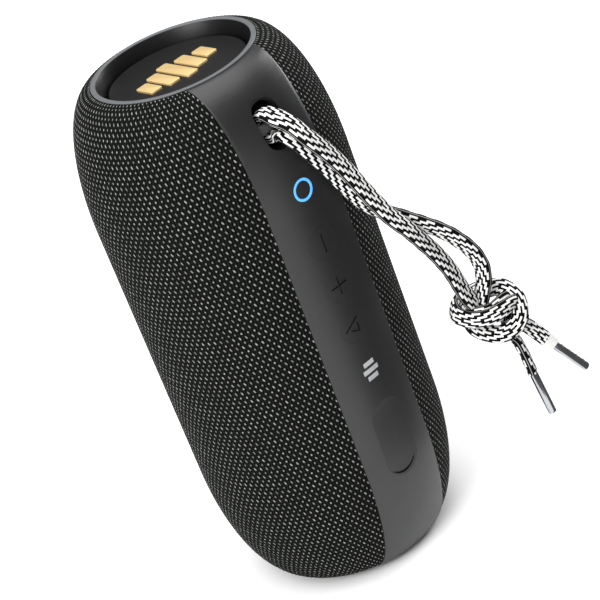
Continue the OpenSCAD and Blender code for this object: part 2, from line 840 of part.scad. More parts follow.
module top_radiator_frame() radiator_frame();
module top_surround() rubber_roll();
module top_diaphragm() diaphragm();
module top_weight() weight();
module bottom_radiator_frame() at_bottom() radiator_frame();
module bottom_surround() at_bottom() rubber_roll();
module bottom_diaphragm() at_bottom() diaphragm();
module bottom_weight() at_bottom() weight();

fabric_sleeve();
grille_shell();
spine();
spine_mark();
top_ring();
bottom_ring();
front_cabinet();
rear_cabinet();
cabinet_seal();
cabinet_screws();
lanyard_cup();
lanyard_bar();
strand_upper();
strand_lower();
lanyard_knot();
tail_left();
tail_right();
aglet_left();
aglet_right();
button_carrier();
light_ring();
control_board();
switch_bodies();
small_screws();
power_cap();
power_plunger();
volume_down_cap();
volume_down_plunger();
volume_up_cap();
volume_up_plunger();
play_cap();
play_plunger();
port_cover();
port_cover_tab();
port_tray();
usb_socket();
aux_jack();
main_board();
board_parts();
battery_cells();
battery_holder();
upper_driver_basket();
upper_driver_magnet();
upper_driver_cone();
upper_driver_surround();
lower_driver_basket();
lower_driver_magnet();
lower_driver_cone();
lower_driver_surround();
top_radiator_frame();
top_surround();
top_diaphragm();
top_weight();
top_emblem();
bottom_radiator_frame();
bottom_surround();
bottom_diaphragm();
bottom_weight();
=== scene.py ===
"""Looks of a waterproof cylindrical speaker: woven sleeve, rubber spine, gold trim and a braided lanyard."""
import json
import math

import bmesh
import bpy
from mathutils import Matrix, Vector


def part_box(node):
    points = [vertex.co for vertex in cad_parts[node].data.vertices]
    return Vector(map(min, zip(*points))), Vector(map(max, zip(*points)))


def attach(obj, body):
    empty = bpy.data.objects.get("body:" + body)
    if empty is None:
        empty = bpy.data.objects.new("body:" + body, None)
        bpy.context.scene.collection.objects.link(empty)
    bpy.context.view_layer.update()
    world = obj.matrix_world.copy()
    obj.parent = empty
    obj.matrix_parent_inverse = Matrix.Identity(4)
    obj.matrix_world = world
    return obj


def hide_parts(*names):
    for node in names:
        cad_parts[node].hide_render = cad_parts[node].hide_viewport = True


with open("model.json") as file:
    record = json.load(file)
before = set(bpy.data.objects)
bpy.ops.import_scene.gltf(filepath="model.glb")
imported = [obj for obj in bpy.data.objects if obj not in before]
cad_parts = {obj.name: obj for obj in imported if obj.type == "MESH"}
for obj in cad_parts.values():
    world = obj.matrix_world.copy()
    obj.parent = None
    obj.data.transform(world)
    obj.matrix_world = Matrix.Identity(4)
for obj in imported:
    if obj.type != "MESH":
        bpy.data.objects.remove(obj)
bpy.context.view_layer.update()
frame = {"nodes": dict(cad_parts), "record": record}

MM = 0.001


# ---- sizes, in millimetres ----

def box_mm(node):
    """Lowest and highest corners of a node at rest."""
    return [Vector(corner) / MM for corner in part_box(node)]


SLEEVE_LO, SLEEVE_HI = box_mm("fabric_sleeve")
RING_HI = box_mm("top_ring")[1]
BODY_H = RING_HI.z
BODY_R = SLEEVE_HI.y
STAND = SLEEVE_LO.z
RIM_R = RING_HI.x - 1.2
SHOULDER = 42
SPINE_HALF = 13.4
SPINE_T = 2.0
FABRIC_T = 0.8
POWER_Z = sum(box_mm("light_ring"), Vector()).z / 2
DOWN_Z, UP_Z, PLAY_Z = (sum(box_mm(n + "_cap"), Vector()).z / 2 for n in ("volume_down", "volume_up", "play"))
BAR_Y, BAR_Z = -35.2, sum(box_mm("lanyard_bar"), Vector()).z / 2
HOLE = dict(x=0, z=157.3, w=9, h=16)
PORT = dict(x=0, z=47.5, w=12.3, h=27.3)
CAP_R = 5.2

# Camera, found once from the body's outline: where it stands and how it is turned
VIEW_AZIMUTH, VIEW_ELEVATION, VIEW_ROLL = -31.6, 28.151, -21.568
VIEW_DISTANCE = 0.6596     # from the body's middle, in metres
VIEW_LENS = 128.3
VIEW_PAN, VIEW_TILT = -0.80663, 0.14412


# ---- camera ----

def facing(azimuth, elevation, roll):
    """Turns local right, up and out so that out looks towards an azimuth and an elevation."""
    azimuth, elevation, roll = (math.radians(v) for v in (azimuth, elevation, roll))
    turn = Matrix.Rotation(azimuth, 3, "Z") @ Matrix.Rotation(math.pi / 2 - elevation, 3, "X")
    return turn @ Matrix.Rotation(roll, 3, "Z")


def make_camera():
    aim = Vector((0, 0, BODY_H * MM / 2))
    turn = facing(VIEW_AZIMUTH, VIEW_ELEVATION, VIEW_ROLL)
    place = aim + turn @ Vector((0, 0, VIEW_DISTANCE))
    turn = turn @ Matrix.Rotation(math.radians(VIEW_PAN), 3, "Y")
    turn = turn @ Matrix.Rotation(math.radians(VIEW_TILT), 3, "X")
    data = bpy.data.cameras.new("camera")
    data.lens = VIEW_LENS
    data.clip_end = 20
    camera = bpy.data.objects.new("camera", data)
    camera.matrix_world = Matrix.Translation(place) @ turn.to_4x4()
    bpy.context.scene.collection.objects.link(camera)
    bpy.context.scene.camera = camera


# ---- stage and lights ----

def make_light(name, place, aim, size, power):
    data = bpy.data.lights.new(name, "AREA")
    data.shape = "RECTANGLE"
    data.size, data.size_y = size
    data.energy = power
    light = bpy.data.objects.new(name, data)
    turn = (Vector(aim) - Vector(place)).to_track_quat("-Z", "Y").to_matrix().to_4x4()
    light.matrix_world = Matrix.Translation(place) @ turn
    bpy.context.scene.collection.objects.link(light)


# The paper ends to the front right, out of view, so that the body's right side has nothing bright to mirror
PAPER_CORNERS = [(6, 5.5), (0.4, 0.23), (0.015, -0.103), (0.075, -0.3), (1.2, -6), (-6, -6), (-6, 6), (6, 6)]


def make_stage():
    bm = bmesh.new()
    bm.faces.new([bm.verts.new((x, y, 0)) for x, y in reversed(PAPER_CORNERS)])
    mesh = bpy.data.meshes.new("floor")
    bm.to_mesh(mesh)
    bm.free()
    floor = bpy.data.objects.new("floor", mesh)
    bpy.context.scene.collection.objects.link(floor)
    mesh.materials.append(matt_paper())
    world = bpy.data.worlds.new("studio")
    bpy.context.scene.world = world
    world.use_nodes = True
    world.node_tree.nodes["Background"].inputs["Color"].default_value = (1, 1, 1, 1)
    world.node_tree.nodes["Background"].inputs["Strength"].default_value = 0.16
    middle = (0, 0, 0.09)
    make_light("key", (-1.1, -0.35, 0.75), (-0.1, -0.45, 0), (0.8, 0.8), 17)
    make_light("rim", (1.2, 0.1, 0.4), middle, (0.4, 0.9), 11)
    make_light("top", (0, -0.1, 1.5), middle, (2.2, 2.2), 46)
    bpy.context.scene.view_settings.view_transform = "Standard"


# ---- materials ----

def linear(colour):
    """An sRGB hex colour as linear red, green, blue and alpha."""
    values = [int(colour[i:i + 2], 16) / 255 for i in (0, 2, 4)]
    return [v / 12.92 if v <= 0.04045 else ((v + 0.055) / 1.055) ** 2.4 for v in values] + [1.0]


def per_mm(size):
    """Scale that gives a pattern on metre coordinates cells of a size in millimetres."""
    return 1 / (size * MM)


def add(tree, kind, inputs=None, **settings):
    """Adds a shader node with its settings; an input is a value or the socket that feeds it."""
    made = tree.nodes.new("ShaderNode" + kind)
    for name, value in settings.items():
        setattr(made, name, value)
    for name, value in (inputs or {}).items():
        if isinstance(value, bpy.types.NodeSocket):
            tree.links.new(value, made.inputs[name])
        else:
            made.inputs[name].default_value = value
    return made


def start(name, **shader_values):
    """A new material with its tree and shader; uniform values go on the shader's own sockets."""
    material = bpy.data.materials.new(name)
    material.use_nodes = True
    tree = material.node_tree
    shader = tree.nodes["Principled BSDF"]
    for key, value in shader_values.items():
        shader.inputs[key.replace("_", " ")].default_value = value
    return material, tree, shader


def ramp(tree, factor, stops):
    """Colour ramp between stops of (place, sRGB hex)."""
    made = add(tree, "ValToRGB", {"Fac": factor})
    elements = made.color_ramp.elements
    while len(elements) < len(stops):
        elements.new(0.5)
    for element, (place, colour) in zip(elements, stops):
        element.position = place
        element.color = linear(colour)
    return made.outputs["Color"]


def speckled(name, dark, light, grain, bump, roughness, spread=0.06, **shader_values):
    """A plain finish with a fine grain: its colour, roughness and height all vary with one noise."""
    material, tree, shader = start(name, **shader_values)
    place = add(tree, "TexCoord").outputs["Object"]
    fine = add(tree, "TexNoise", {"Vector": place, "Scale": per_mm(grain), "Detail": 3})
    broad = add(tree, "TexNoise", {"Vector": place, "Scale": per_mm(grain * 30), "Detail": 2})
    tree.links.new(ramp(tree, broad.outputs["Fac"], [(0.3, dark), (0.7, light)]), shader.inputs["Base Color"])
    rough = add(tree, "MapRange", {"Value": fine.outputs["Fac"], "To Min": roughness - spread,
                                   "To Max": roughness + spread})
    tree.links.new(rough.outputs["Result"], shader.inputs["Roughness"])
    height = add(tree, "Bump", {"Height": fine.outputs["Fac"], "Strength": 0.5, "Distance": bump * MM})
    tree.links.new(height.outputs["Normal"], shader.inputs["Normal"])
    return material


def matt_paper():
    # Seamless studio paper: matt white
    return speckled("seamless_paper", "f4f4f4", "f7f7f7", 4, 0.02, 0.9)


def maths(tree, operation, *values, **settings):
    """One sum on numbers or sockets."""
    return add(tree, "Math", dict(enumerate(values)), operation=operation, **settings).outputs[0]


def woven_polyester():
    # Two-tone woven polyester: black warp ribs with short grey floats standing on them
    material, tree, shader = start("woven_polyester", Roughness=0.9, Specular_IOR_Level=0.08)
    thread = add(tree, "SeparateXYZ", {"Vector": add(tree, "TexCoord").outputs["UV"]})
    rib, row = thread.outputs["X"], thread.outputs["Y"]
    row_number = maths(tree, "ROUND", row)
    odd = maths(tree, "MODULO", maths(tree, "ABSOLUTE", row_number), 2)
    along = maths(tree, "SUBTRACT", row, row_number)
    shifted = maths(tree, "MULTIPLY_ADD", odd, 0.5, rib)
    rib_number = maths(tree, "ROUND", shifted)
    lean = maths(tree, "MULTIPLY", along, maths(tree, "MULTIPLY_ADD", odd, -0.3, 0.3))
    beside = maths(tree, "ADD", maths(tree, "SUBTRACT", shifted, rib_number), lean)
    length = maths(tree, "MULTIPLY_ADD", odd, -0.12, 0.38)
    across_part = maths(tree, "POWER", maths(tree, "DIVIDE", maths(tree, "ABSOLUTE", beside), 0.165), 2)
    along_part = maths(tree, "POWER", maths(tree, "DIVIDE", maths(tree, "ABSOLUTE", along), length), 2)
    float_shape = maths(tree, "SUBTRACT", 1, maths(tree, "ADD", across_part, along_part), use_clamp=True)
    cell = add(tree, "CombineXYZ", {"X": rib_number, "Y": row_number})
    chance = add(tree, "TexWhiteNoise", {"Vector": cell.outputs["Vector"]}, noise_dimensions="2D")
    bright = maths(tree, "MULTIPLY_ADD", chance.outputs["Value"], 0.25, 0.75)
    amount = maths(tree, "MULTIPLY", maths(tree, "POWER", float_shape, 0.8), bright)
    # Painted shade: the black warp is painted darker in the grooves between its ribs and lighter on their
    # tops, following the ribs' bump
    ribs = maths(tree, "COSINE", maths(tree, "MULTIPLY", rib, 4 * math.pi))
    warp = add(tree, "MapRange", {"Value": ribs, "From Min": -1, "From Max": 1})
    warp_with_groove_shade = ramp(tree, warp.outputs["Result"], [(0.15, "020302"), (0.8, "111310")])
    over = ramp(tree, chance.outputs["Value"], [(0.0, "7c7f7c"), (1.0, "9c9f9b")])
    mixed = add(tree, "Mix", {0: amount, 6: warp_with_groove_shade, 7: over}, data_type="RGBA")
    tree.links.new(mixed.outputs[2], shader.inputs["Base Color"])
    height = maths(tree, "ADD", maths(tree, "MULTIPLY", float_shape, 0.7), maths(tree, "MULTIPLY", ribs, 0.2))
    bump = add(tree, "Bump", {"Height": height, "Strength": 0.7, "Distance": 0.25 * MM})
    tree.links.new(bump.outputs["Normal"], shader.inputs["Normal"])
    return material


CHEVRON = 5.7         # length of one black and white pair along the cord
SLANT = 0.35          # how much of a pair each column lags behind the next one
COLUMNS = 22          # columns of stitches all the way round the cord
FACE_COLUMNS = 4.5    # columns on each side of a face's ridge that are patterned; those past them are black
WHIPPED_AT = 40       # added to the place round the cord where plain pale yarn is whipped round it


def braided_polyester():
    # Flat braid of black and white polyester: stepped chevrons, with black yarns along both edges
    material, tree, shader = start("braided_polyester", Roughness=0.8, Specular_IOR_Level=0.1)
    thread = add(tree, "SeparateXYZ", {"Vector": add(tree, "TexCoord").outputs["UV"]})
    across, along = thread.outputs["X"], thread.outputs["Y"]
    column = maths(tree, "ROUND", across)
    middle = maths(tree, "SUBTRACT", across, column)
    from_front = maths(tree, "ABSOLUTE", column)
    from_ridge = maths(tree, "MINIMUM", from_front, maths(tree, "SUBTRACT", COLUMNS / 2, from_front))
    lag = maths(tree, "MULTIPLY", from_ridge, SLANT)
    phase = maths(tree, "FRACT", maths(tree, "ADD", maths(tree, "DIVIDE", along, CHEVRON), lag))
    white = maths(tree, "LESS_THAN", phase, 0.48)
    face = maths(tree, "LESS_THAN", from_ridge, FACE_COLUMNS)
    edge = maths(tree, "SUBTRACT", maths(tree, "ABSOLUTE", across), COLUMNS / 4)
    thin = maths(tree, "MULTIPLY", maths(tree, "LESS_THAN", maths(tree, "ABSOLUTE", edge), 0.13), 0.55)
    whipped = maths(tree, "GREATER_THAN", across, WHIPPED_AT / 2)
    woven = maths(tree, "MAXIMUM", maths(tree, "MULTIPLY", white, face), thin)
    pale = maths(tree, "MAXIMUM", woven, whipped)
    place = add(tree, "TexCoord").outputs["Object"]
    fibre = add(tree, "TexNoise", {"Vector": place, "Scale": per_mm(0.5), "Detail": 4})
    light = ramp(tree, fibre.outputs["Fac"], [(0.3, "d6d6d4"), (0.7, "e8e8e6")])
    dark = ramp(tree, fibre.outputs["Fac"], [(0.3, "010101"), (0.7, "060607")])
    mixed = add(tree, "Mix", {0: pale, 6: dark, 7: light}, data_type="RGBA")
    tree.links.new(mixed.outputs[2], shader.inputs["Base Color"])
    yarn = maths(tree, "COSINE", maths(tree, "MULTIPLY", middle, math.pi))
    twisted = maths(tree, "ADD", along, maths(tree, "MULTIPLY", middle, 0.4))
    twist = maths(tree, "SINE", maths(tree, "MULTIPLY", twisted, 18))
    height = maths(tree, "MULTIPLY_ADD", twist, 0.15, yarn)
    bump = add(tree, "Bump", {"Height": height, "Strength": 0.25, "Distance": 0.05 * MM})
    tree.links.new(bump.outputs["Normal"], shader.inputs["Normal"])
    return material


def blue_light_guide():
    # Clear polycarbonate lit from behind by a blue lamp
    material, tree, shader = start("blue_light_guide", Roughness=0.3)
    place = add(tree, "TexCoord").outputs["Object"]
    glow = add(tree, "TexNoise", {"Vector": place, "Scale": per_mm(2)})
    blue = ramp(tree, glow.outputs["Fac"], [(0.3, "4f9cf0"), (0.7, "5aa6f8")])
    tree.links.new(blue, shader.inputs["Emission Color"])
    shader.inputs["Emission Strength"].default_value = 1.0
    shader.inputs["Base Color"].default_value = linear("3d8fe0")
    return material


def drawn_steel():
    # Drawn stainless tube: smooth and bright, a little uneven in tone
    material, tree, shader = start("drawn_steel", Metallic=1.0)
    place = add(tree, "TexCoord").outputs["Object"]
    marks = add(tree, "TexNoise", {"Vector": place, "Scale": per_mm(3), "Detail": 2})
    steel = ramp(tree, marks.outputs["Fac"], [(0.3, "a0a2a5"), (0.7, "b0b2b5")])
    tree.links.new(steel, shader.inputs["Base Color"])
    rough = add(tree, "MapRange", {"Value": marks.outputs["Fac"], "To Min": 0.1, "To Max": 0.18})
    tree.links.new(rough.outputs["Result"], shader.inputs["Roughness"])
    return material


def ring_plastic():
    # Moulded ring: satin black inside the recess; the flat lip at each end of the body is painted paler grey,
    # partly its own tone and partly a painted highlight of the light it catches from above
    material, tree, shader = start("satin_moulded_ring", Specular_IOR_Level=0.35)
    place = add(tree, "TexCoord").outputs["Object"]
    height = add(tree, "SeparateXYZ", {"Vector": place}).outputs["Z"]
    from_middle = maths(tree, "ABSOLUTE", maths(tree, "SUBTRACT", height, BODY_H / 2 * MM))
    lip = add(tree, "MapRange", {"Value": from_middle, "From Min": (BODY_H / 2 - 0.35) * MM,
                                 "From Max": (BODY_H / 2 - 0.15) * MM})
    fine = add(tree, "TexNoise", {"Vector": place, "Scale": per_mm(0.5), "Detail": 3})
    black = ramp(tree, fine.outputs["Fac"], [(0.3, "0a0a0b"), (0.7, "0e0e0f")])
    # Painted highlight: the lip's grey is partly the plastic's tone and partly stands in for the light
    # falling on its flat top
    lip_grey_highlight = ramp(tree, fine.outputs["Fac"], [(0.3, "5a5c5e"), (0.7, "606264")])
    mixed = add(tree, "Mix", {0: lip.outputs["Result"], 6: black, 7: lip_grey_highlight}, data_type="RGBA")
    tree.links.new(mixed.outputs[2], shader.inputs["Base Color"])
    rough = add(tree, "MapRange", {"Value": fine.outputs["Fac"], "To Min": 0.36, "To Max": 0.44})
    tree.links.new(rough.outputs["Result"], shader.inputs["Roughness"])
    return material


def make_materials():
    return {
        "woven_sleeve": woven_polyester(),
        "braided_cord": braided_polyester(),
        "light_guide": blue_light_guide(),
        "aglet_steel": drawn_steel(),
        # Silicone rubber from a fine-blasted mould: a soft, wide sheen
        "spine_rubber": speckled("silicone_rubber", "111112", "141415", 0.35, 0.008, 0.42,
                                 Specular_IOR_Level=0.6),
        "black_abs": speckled("moulded_abs", "131415", "18191a", 0.4, 0.015, 0.5),
        "printed_mark": speckled("silver_ink", "a6a8aa", "b9bbbd", 0.3, 0.01, 0.45),
        "ring_gloss": ring_plastic(),
        "soft_rubber": speckled("butyl_rubber", "0e0e0f", "141415", 0.5, 0.01, 0.6),
        "zinc_steel": speckled("zinc_plated_steel", "9fa2a5", "b3b5b8", 0.4, 0.006, 0.35, Metallic=1.0),
        "bar_plastic": speckled("filled_nylon", "2e2f30", "343536", 0.4, 0.01, 0.45),
        "circuit_board": speckled("solder_mask", "12462c", "1b5c3b", 1.2, 0.03, 0.35),
        "board_parts": speckled("tinned_can", "8e9194", "b0b3b6", 1, 0.01, 0.3, Metallic=0.8),
        "plunger_plastic": speckled("acetal", "dfddd5", "e9e7e0", 0.6, 0.01, 0.4),
        "cell_wrap": speckled("shrink_wrap", "35719f", "3f7fb5", 1.5, 0.02, 0.3),
        "painted_basket": speckled("powder_coat", "303236", "383a3e", 0.5, 0.03, 0.5),
        "paper_cone": speckled("paper_pulp", "343538", "424347", 0.8, 0.06, 0.8),
        "radiator_disc": speckled("painted_aluminium", "0d0d0e", "111112", 0.4, 0.006, 0.45,
                                  Specular_IOR_Level=0.25),
        "gold_trim": speckled("gold_anodised", "dcbc80", "e2c68c", 0.4, 0.003, 0.42, Metallic=0.45),
    }


# ---- shapes on the body's surface ----

def skin_point(sweep, depth):
    """Radius and height on the lower shoulder, where sweep runs 0 to 90 degrees, at a depth."""
    radius = RIM_R + (BODY_R - depth - RIM_R) * math.sin(sweep)
    foot = STAND + depth
    return radius, foot + (SHOULDER - foot) * (1 - math.cos(sweep))


def press_on(bm):
    """Bends a flat strip onto the body: x stays, y is the depth below the surface, z the height."""
    for v in bm.verts:
        x, depth, z = v.co
        low = z < BODY_H / 2
        level = z if low else BODY_H - z
        if level < SHOULDER:
            sweep = math.acos(max(0.0, min(1.0, 1 - (level - STAND) / (SHOULDER - STAND))))
            radius, level = skin_point(sweep, depth)
        else:
            radius = BODY_R - depth
        v.co = (x, -math.sqrt(radius ** 2 - x ** 2), level if low else BODY_H - level)


def circle(x, z, r, count=64):
    return [(x + r * math.cos(2 * math.pi * i / count), z + r * math.sin(2 * math.pi * i / count))
            for i in range(count)]


def pill(x, z, w, h, count=20):
    """Outline of an upright slot with round ends."""
    half = (h - w) / 2
    ends = []
    for i in range(2 * count + 2):
        end = i // (count + 1)
        angle = math.pi * (i - end) / count
        middle = z + (half if end == 0 else -half)
        ends.append((x + w / 2 * math.cos(angle), middle + w / 2 * math.sin(angle)))
    return ends


def rectangle(x0, x1, z0, z1):
    return [(x0, z0), (x1, z0), (x1, z1), (x0, z1)]


def draw(bm, outline, depth=0.0):
    """Adds one closed outline on the flat strip and returns its edges."""
    verts = [bm.verts.new((x, depth, z)) for x, z in outline]
    return [bm.edges.new(pair) for pair in zip(verts, verts[1:] + verts[:1])]


def plate(outlines, top=0.0, bottom=SPINE_T, soften=0.1):
    """A flat plate, y being depth: the first outline is its border and the others its holes."""
    bm = bmesh.new()
    edges = [edge for outline in outlines for edge in draw(bm, outline, top)]
    bmesh.ops.triangle_fill(bm, use_beauty=True, edges=edges, normal=(0, -1, 0))
    if soften:
        bmesh.ops.inset_region(bm, faces=bm.faces[:], thickness=soften, use_boundary=True,
                               use_even_offset=True)
        for v in bm.verts:
            if v.is_boundary:
                v.co.y += soften
    border = [edge for edge in bm.edges if edge.is_boundary]
    walls = bmesh.ops.extrude_edge_only(bm, edges=border)["geom"]
    for v in walls:
        if isinstance(v, bmesh.types.BMVert):
            v.co.y = bottom
    back = [edge for edge in bm.edges if edge.is_boundary]
    bmesh.ops.triangle_fill(bm, use_beauty=True, edges=back, normal=(0, 1, 0))
    bmesh.ops.recalc_face_normals(bm, faces=bm.faces)
    return bm


def cut_every(bm, axis, places):
    """Cuts a shape at each place along an axis, so that it can bend there."""
    normal = Vector([axis == "xyz"[i] for i in range(3)])
    for place in places:
        bmesh.ops.bisect_plane(bm, geom=bm.verts[:] + bm.edges[:] + bm.faces[:], dist=1e-6,
                               plane_co=normal * place, plane_no=normal)


def steps(start_at, end_at, size):
    """Evenly spaced places strictly between two ends, about a given size apart."""
    count = max(1, round((end_at - start_at) / size))
    return [start_at + (end_at - start_at) * i / count for i in range(1, count)]


def shoulder_cuts(count=22):
    """Heights at which a strip is cut over both shoulders, closer together towards the rims."""
    levels = [skin_point(math.pi / 2 * i / count, 0)[1] for i in range(1, count + 1)]
    return levels + [BODY_H - level for level in levels]


def place_piece(bm, name, material, body, nodes=(), crease=35):
    """Makes a shape in millimetres a piece in metres that rides a body and stands for CAD nodes."""
    bmesh.ops.scale(bm, vec=(MM, MM, MM), verts=bm.verts)
    mesh = bpy.data.meshes.new(name)
    bm.to_mesh(mesh)
    bm.free()
    mesh.materials.append(MATERIALS[material])
    mesh.shade_smooth()
    mesh.set_sharp_from_angle(angle=math.radians(crease))
    made = bpy.data.objects.new(name, mesh)
    bpy.context.scene.collection.objects.link(made)
    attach(made, body)
    if nodes:
        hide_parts(*nodes)
    return made


def pressed_piece(bm, name, material, body, nodes=(), cross=1.2, dish=0.0):
    """Presses a flat plate onto the body and makes it a piece; a dish lowers it in the middle of the port."""
    xs, zs = [v.co.x for v in bm.verts], [v.co.z for v in bm.verts]
    cut_every(bm, "x", steps(min(xs), max(xs), cross))
    cut_every(bm, "z", [z for z in shoulder_cuts() if min(zs) < z < max(zs)])
    if dish:
        cut_every(bm, "z", steps(min(zs), max(zs), 1.3))
        for v in bm.verts:
            from_line = math.hypot(v.co.x, max(0, abs(v.co.z - PORT["z"]) - (PORT["h"] - PORT["w"]) / 2))
            v.co.y += dish * max(0, 1 - (2 * from_line / PORT["w"]) ** 2)
    press_on(bm)
    return place_piece(bm, name, material, body, nodes)


def merge(*shapes):
    """Joins shapes into the first one."""
    whole = shapes[0]
    for shape in shapes[1:]:
        mesh = bpy.data.meshes.new("part")
        shape.to_mesh(mesh)
        whole.from_mesh(mesh)
        bpy.data.meshes.remove(mesh)
        shape.free()
    return whole


# ---- sleeve ----

RIBS = 126             # warp ribs all the way round, 2 mm apart
ROW = 1.55             # height of one row of the weave
RELIEF = 0.13          # half the height of the weave's relief
SLEEVE_SUNK = 0.25     # how far the cloth lies below the spine's face


def sleeve_line(count=400):
    """The sleeve's outline from rim to rim as samples of length so far, radius and height."""
    points = []
    for i in range(count + 1):
        points.append(skin_point(math.pi / 2 * i / count, 0))
    points += [(r, BODY_H - z) for r, z in reversed(points)]
    line, length = [], 0.0
    for i, (r, z) in enumerate(points):
        if i:
            length += math.dist(points[i - 1], (r, z))
        line.append((length, r, z))
    return line


def along_line(line, length):
    """Radius, height and outward direction at a length along the outline."""
    low, high = 0, len(line) - 1
    while high - low > 1:
        middle = (low + high) // 2
        low, high = (middle, high) if line[middle][0] <= length else (low, middle)
    (l0, r0, z0), (l1, r1, z1) = line[low], line[high]
    part = (length - l0) / (l1 - l0)
    run = math.dist((r0, z0), (r1, z1))
    return r0 + (r1 - r0) * part, z0 + (z1 - z0) * part, (z1 - z0) / run, (r0 - r1) / run


def sleeve_grid(line, side, columns, rows, depth, relief):
    """One side of the sleeve as a grid from the spine to the middle of the back."""
    total = line[-1][0]
    first = math.degrees(math.asin(SPINE_HALF / BODY_R)) - 1
    bm = bmesh.new()
    bmesh.ops.create_grid(bm, x_segments=columns, y_segments=rows, size=0.5)
    uv = bm.loops.layers.uv.new("weave")
    cells = {}
    for v in bm.verts:
        angle = first + (180 - first) * (v.co.x + 0.5)
        length = total * (v.co.y + 0.5)
        rib, row = angle * RIBS / 360, length / ROW
        cells[v] = (side * rib, row)
        r, z, out_r, out_z = along_line(line, length)
        weave = relief * math.cos(2 * math.pi * rib) * math.cos(math.pi * row)
        lift = weave - depth - (SLEEVE_SUNK if relief else 0)
        r, z = r + out_r * lift, z + out_z * lift
        v.co = (side * r * math.sin(math.radians(angle)), -r * math.cos(math.radians(angle)), z)
    for face in bm.faces:
        for loop in face.loops:
            loop[uv].uv = cells[loop.vert]
    return bm


def make_sleeve():
    line = sleeve_line()
    for side, name in ((-1, "sleeve_left"), (1, "sleeve_right")):
        fine = sleeve_grid(line, side, 224, 400, 0, RELIEF)
        plain = sleeve_grid(line, side, 28, 60, FABRIC_T, 0)
        gap = SPINE_HALF + 0.12
        for bm in (fine, plain):
            front = [v for v in bm.verts if v.co.y < 0]
            near = {f for v in front for f in v.link_faces}
            edges = {e for f in near for e in f.edges}
            parts = list(near) + list(edges) + list({v for f in near for v in f.verts})
            bmesh.ops.bisect_plane(bm, geom=parts, dist=1e-6, plane_co=(side * gap, 0, 0),
                                   plane_no=(-side, 0, 0), clear_outer=True)
        both = merge(fine, plain)
        edges = [e for e in both.edges if e.is_boundary]
        bmesh.ops.bridge_loops(both, edges=edges)
        bmesh.ops.recalc_face_normals(both, faces=both.faces)
        place_piece(both, name, "woven_sleeve", "housing", ["fabric_sleeve"], crease=70)


# ---- spine and its controls ----

def make_spine():
    holes = [pill(HOLE["x"], HOLE["z"], HOLE["w"], HOLE["h"]), circle(0, POWER_Z, 3.5),
             pill(PORT["x"], PORT["z"], PORT["w"], PORT["h"])]
    holes += [circle(0, z, CAP_R) for z in (DOWN_Z, UP_Z, PLAY_Z)]
    border = rectangle(-SPINE_HALF, SPINE_HALF, STAND, BODY_H - STAND)
    pressed_piece(plate([border] + holes, soften=0.03), "control_spine", "spine_rubber", "housing", ["spine"])


STROKE = 0.5           # width of the strokes of the signs sunk into the keys
KEY_GAP = 0.02         # round a key


def bar(half_w, half_h, z):
    return rectangle(-half_w, half_w, z - half_h, z + half_h)


def plus(z, reach=3):
    w = STROKE / 2
    corner = [(w, w), (w, reach), (-w, reach), (-w, w), (-reach, w), (-reach, -w), (-w, -w), (-w, -reach),
              (w, -reach), (w, -w), (reach, -w), (reach, w)]
    return [(x, z + up) for x, up in corner]


def stroke(start_at, end_at):
    """Outline of a straight stroke with square ends."""
    run = math.dist(start_at, end_at)
    dx, dz = ((b - a) / run * STROKE / 2 for a, b in zip(start_at, end_at))
    (x0, z0), (x1, z1) = start_at, end_at
    return [(x0 - dx + dz, z0 - dz - dx), (x1 + dx + dz, z1 + dz - dx),
            (x1 + dx - dz, z1 + dz + dx), (x0 - dx - dz, z0 - dz + dx)]


def make_buttons():
    w = STROKE / 2
    long_side = stroke((1.6, PLAY_Z + 2.4), (-3.4, PLAY_Z - 0.15))
    corner = [(1.25 - w, 0.7), (1.25 - w, -1.82), (-1.4, -0.4), (-1.65, -0.85), (1.25 + w, -2.45),
              (1.25 + w, 0.7)]
    corner = [(x, PLAY_Z + up) for x, up in corner]
    keys = [("volume_down", DOWN_Z, [bar(w, 3, DOWN_Z)]), ("volume_up", UP_Z, [plus(UP_Z)]),
            ("play", PLAY_Z, [long_side, corner])]
    for key, z, cuts in keys:
        rim = circle(0, z, CAP_R - KEY_GAP)
        face = plate([rim] + cuts, 0, 0.5, 0)
        back = plate([rim], 0.5, 2.6, 0)
        pressed_piece(merge(face, back), key + "_key", "spine_rubber", key + "_button", [key + "_cap"], 0.9)


def make_power_key():
    key = plate([circle(0, POWER_Z, 2.65)], 0.05, 4, 0.15)
    pressed_piece(key, "power_key", "spine_rubber", "power_button", ["power_cap"], 0.8)
    halo = plate([circle(0, POWER_Z, 3.45), circle(0, POWER_Z, 2.75)], -0.05, 4, 0.1)
    pressed_piece(halo, "light_halo", "light_guide", "housing", ["light_ring"], 0.8)


# ---- ends ----

def spun(profile, steps_round=160):
    """Turns a closed profile of (radius, height) points round the body's axis."""
    bm = bmesh.new()
    verts = [bm.verts.new((r, 0, z)) for r, z in profile]
    edges = [bm.edges.new(pair) for pair in zip(verts, verts[1:] + verts[:1])]
    bmesh.ops.spin(bm, geom=verts + edges, cent=(0, 0, 0), axis=(0, 0, 1), angle=2 * math.pi,
                   steps=steps_round, use_merge=True, use_duplicate=False)
    bmesh.ops.remove_doubles(bm, verts=bm.verts, dist=1e-4)
    bmesh.ops.recalc_face_normals(bm, faces=bm.faces)
    return bm


def turned_over(bm):
    """The same end piece at the other end of the body."""
    mirror = Matrix.Translation((0, 0, BODY_H)) @ Matrix.Scale(-1, 4, (0, 0, 1))
    bmesh.ops.transform(bm, matrix=mirror, verts=bm.verts)
    bmesh.ops.recalc_face_normals(bm, faces=bm.faces)
    return bm


